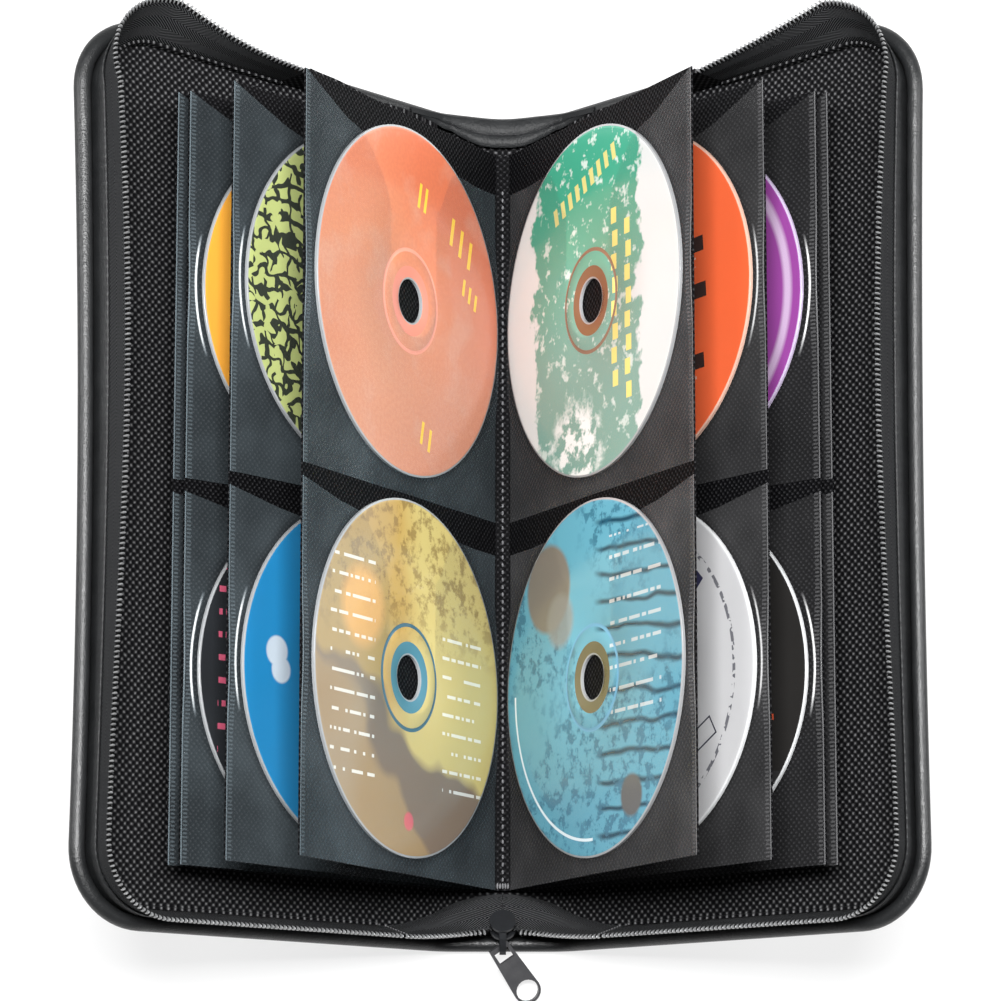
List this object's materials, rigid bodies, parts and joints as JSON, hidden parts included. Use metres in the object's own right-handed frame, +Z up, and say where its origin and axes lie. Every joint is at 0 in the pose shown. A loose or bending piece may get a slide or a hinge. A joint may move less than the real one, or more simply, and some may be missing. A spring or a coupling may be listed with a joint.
{
  "type": "cd storage case",
  "caption": "Zip-round disc wallet lying open on its spine: padded black covers on hinge lines, turning leaves with clear pockets that hold printed discs, and a zip slider with a puller.",
  "frame": {"origin": "middle of the spine's flat underside, on the surface that the open case lies on", "axes": "+Z up between the covers, +Y along the spine towards the top of the case, +X towards the right-hand cover; the zip slider is at the -Y end"},
  "size_m": [0.279, 0.3283, 0.1211],
  "materials": {
    "vinyl": "black grained vinyl, soft sheen",
    "board": "grey-brown stiffening board, hidden",
    "lining": "black spun-bonded cloth with an embossed dot pattern",
    "zip_tape": "black herringbone zip tape",
    "zip_teeth": "black coil teeth, shiny",
    "thread": "black sewing thread",
    "leaf_backing": "black spun-bonded leaf cloth with an embossed dot pattern",
    "pocket_film": "clear glossy plastic film",
    "slider_metal": "black painted zip slider and puller, slightly worn",
    "disc_left_1_upper": "printed label side of a clear plastic disc",
    "disc_left_1_lower": "printed label side of a clear plastic disc",
    "disc_left_2_upper": "printed label side of a clear plastic disc",
    "disc_left_2_lower": "printed label side of a clear plastic disc",
    "disc_left_3_upper": "printed label side of a clear plastic disc",
    "disc_left_3_lower": "printed label side of a clear plastic disc",
    "disc_right_1_upper": "printed label side of a clear plastic disc",
    "disc_right_1_lower": "printed label side of a clear plastic disc",
    "disc_right_2_upper": "printed label side of a clear plastic disc",
    "disc_right_2_lower": "printed label side of a clear plastic disc",
    "disc_right_3_upper": "printed label side of a clear plastic disc",
    "disc_right_3_lower": "printed label side of a clear plastic disc"
  },
  "bodies": {
    "spine": {"spine_skin": "vinyl", "spine_board": "board", "spine_lining": "lining", "spine_top_facing": "vinyl", "leaf_fold_stack": "leaf_backing", "binding_thread": "thread", "zip_slider": "slider_metal", "left_bottom_gusset": "zip_tape", "left_bottom_teeth": "zip_teeth", "right_bottom_gusset": "zip_tape", "right_bottom_teeth": "zip_teeth"},
    "puller": {"zip_puller": "slider_metal"},
    "left_cover": {"left_cover_skin": "vinyl", "left_cover_board": "board", "left_cover_lining": "lining", "left_edge_strip": "vinyl", "left_zip_tape": "zip_tape", "left_zip_teeth": "zip_teeth", "left_top_gusset": "lining"},
    "left_leaf_1": {"left_leaf_1_backing": "leaf_backing", "left_leaf_1_pockets": "pocket_film", "left_leaf_1_upper_disc": "disc_left_1_upper", "left_leaf_1_lower_disc": "disc_left_1_lower"},
    "left_leaf_2": {"left_leaf_2_backing": "leaf_backing", "left_leaf_2_pockets": "pocket_film", "left_leaf_2_upper_disc": "disc_left_2_upper", "left_leaf_2_lower_disc": "disc_left_2_lower"},
    "left_leaf_3": {"left_leaf_3_backing": "leaf_backing", "left_leaf_3_pockets": "pocket_film", "left_leaf_3_upper_disc": "disc_left_3_upper", "left_leaf_3_lower_disc": "disc_left_3_lower"},
    "left_leaf_4": {"left_leaf_4_backing": "leaf_backing", "left_leaf_4_pockets": "pocket_film"},
    "right_cover": {"right_cover_skin": "vinyl", "right_cover_board": "board", "right_cover_lining": "lining", "right_edge_strip": "vinyl", "right_zip_tape": "zip_tape", "right_zip_teeth": "zip_teeth", "right_top_gusset": "lining"},
    "right_leaf_1": {"right_leaf_1_backing": "leaf_backing", "right_leaf_1_pockets": "pocket_film", "right_leaf_1_upper_disc": "disc_right_1_upper", "right_leaf_1_lower_disc": "disc_right_1_lower"},
    "right_leaf_2": {"right_leaf_2_backing": "leaf_backing", "right_leaf_2_pockets": "pocket_film", "right_leaf_2_upper_disc": "disc_right_2_upper", "right_leaf_2_lower_disc": "disc_right_2_lower"},
    "right_leaf_3": {"right_leaf_3_backing": "leaf_backing", "right_leaf_3_pockets": "pocket_film", "right_leaf_3_upper_disc": "disc_right_3_upper", "right_leaf_3_lower_disc": "disc_right_3_lower"},
    "right_leaf_4": {"right_leaf_4_backing": "leaf_backing", "right_leaf_4_pockets": "pocket_film"}
  },
  "joints": [
    {"name": "left_cover_hinge", "type": "hinge", "parent": "spine", "child": "left_cover", "pos_m": [-0.022, 0, 0.0005], "axis": [0, 1, 0], "range_deg": [0, 52], "deforming": ["left_bottom_gusset", "left_bottom_teeth"]},
    {"name": "left_leaf_1_turn", "type": "hinge", "parent": "spine", "child": "left_leaf_1", "pos_m": [-0.0025, 0, 0.0078], "axis": [0, 1, 0], "range_deg": [0, 29.4]},
    {"name": "left_leaf_2_turn", "type": "hinge", "parent": "spine", "child": "left_leaf_2", "pos_m": [-0.0063, 0, 0.0068], "axis": [0, 1, 0], "range_deg": [0, 40.8]},
    {"name": "left_leaf_3_turn", "type": "hinge", "parent": "spine", "child": "left_leaf_3", "pos_m": [-0.0101, 0, 0.0058], "axis": [0, 1, 0], "range_deg": [0, 48.1]},
    {"name": "left_leaf_4_turn", "type": "hinge", "parent": "spine", "child": "left_leaf_4", "pos_m": [-0.0139, 0, 0.0048], "axis": [0, 1, 0], "range_deg": [0, 48.3]},
    {"name": "right_cover_hinge", "type": "hinge", "parent": "spine", "child": "right_cover", "pos_m": [0.022, 0, 0.0005], "axis": [0, -1, 0], "range_deg": [0, 52], "deforming": ["right_bottom_gusset", "right_bottom_teeth"]},
    {"name": "right_leaf_1_turn", "type": "hinge", "parent": "spine", "child": "right_leaf_1", "pos_m": [0.0025, 0, 0.0078], "axis": [0, -1, 0], "range_deg": [0, 27.9]},
    {"name": "right_leaf_2_turn", "type": "hinge", "parent": "spine", "child": "right_leaf_2", "pos_m": [0.0063, 0, 0.0068], "axis": [0, -1, 0], "range_deg": [0, 39.1]},
    {"name": "right_leaf_3_turn", "type": "hinge", "parent": "spine", "child": "right_leaf_3", "pos_m": [0.0101, 0, 0.0058], "axis": [0, -1, 0], "range_deg": [0, 48.1]},
    {"name": "right_leaf_4_turn", "type": "hinge", "parent": "spine", "child": "right_leaf_4", "pos_m": [0.0139, 0, 0.0048], "axis": [0, -1, 0], "range_deg": [0, 48.3]},
    {"name": "puller_hinge", "type": "hinge", "parent": "spine", "child": "puller", "pos_m": [-0.0012, -0.14949, 0.01085], "axis": [-0.8192, -0.5736, 0], "range_deg": [0, 90]}
  ],
  "couplings": [
    {"joint": "left_leaf_1_turn", "follows": "left_cover_hinge", "ratio": 0.56538},
    {"joint": "left_leaf_2_turn", "follows": "left_cover_hinge", "ratio": 0.78461},
    {"joint": "left_leaf_3_turn", "follows": "left_cover_hinge", "ratio": 0.925},
    {"joint": "left_leaf_4_turn", "follows": "left_cover_hinge", "ratio": 0.92885},
    {"joint": "right_leaf_1_turn", "follows": "right_cover_hinge", "ratio": 0.53654},
    {"joint": "right_leaf_2_turn", "follows": "right_cover_hinge", "ratio": 0.75192},
    {"joint": "right_leaf_3_turn", "follows": "right_cover_hinge", "ratio": 0.925},
    {"joint": "right_leaf_4_turn", "follows": "right_cover_hinge", "ratio": 0.92885}
  ]
}
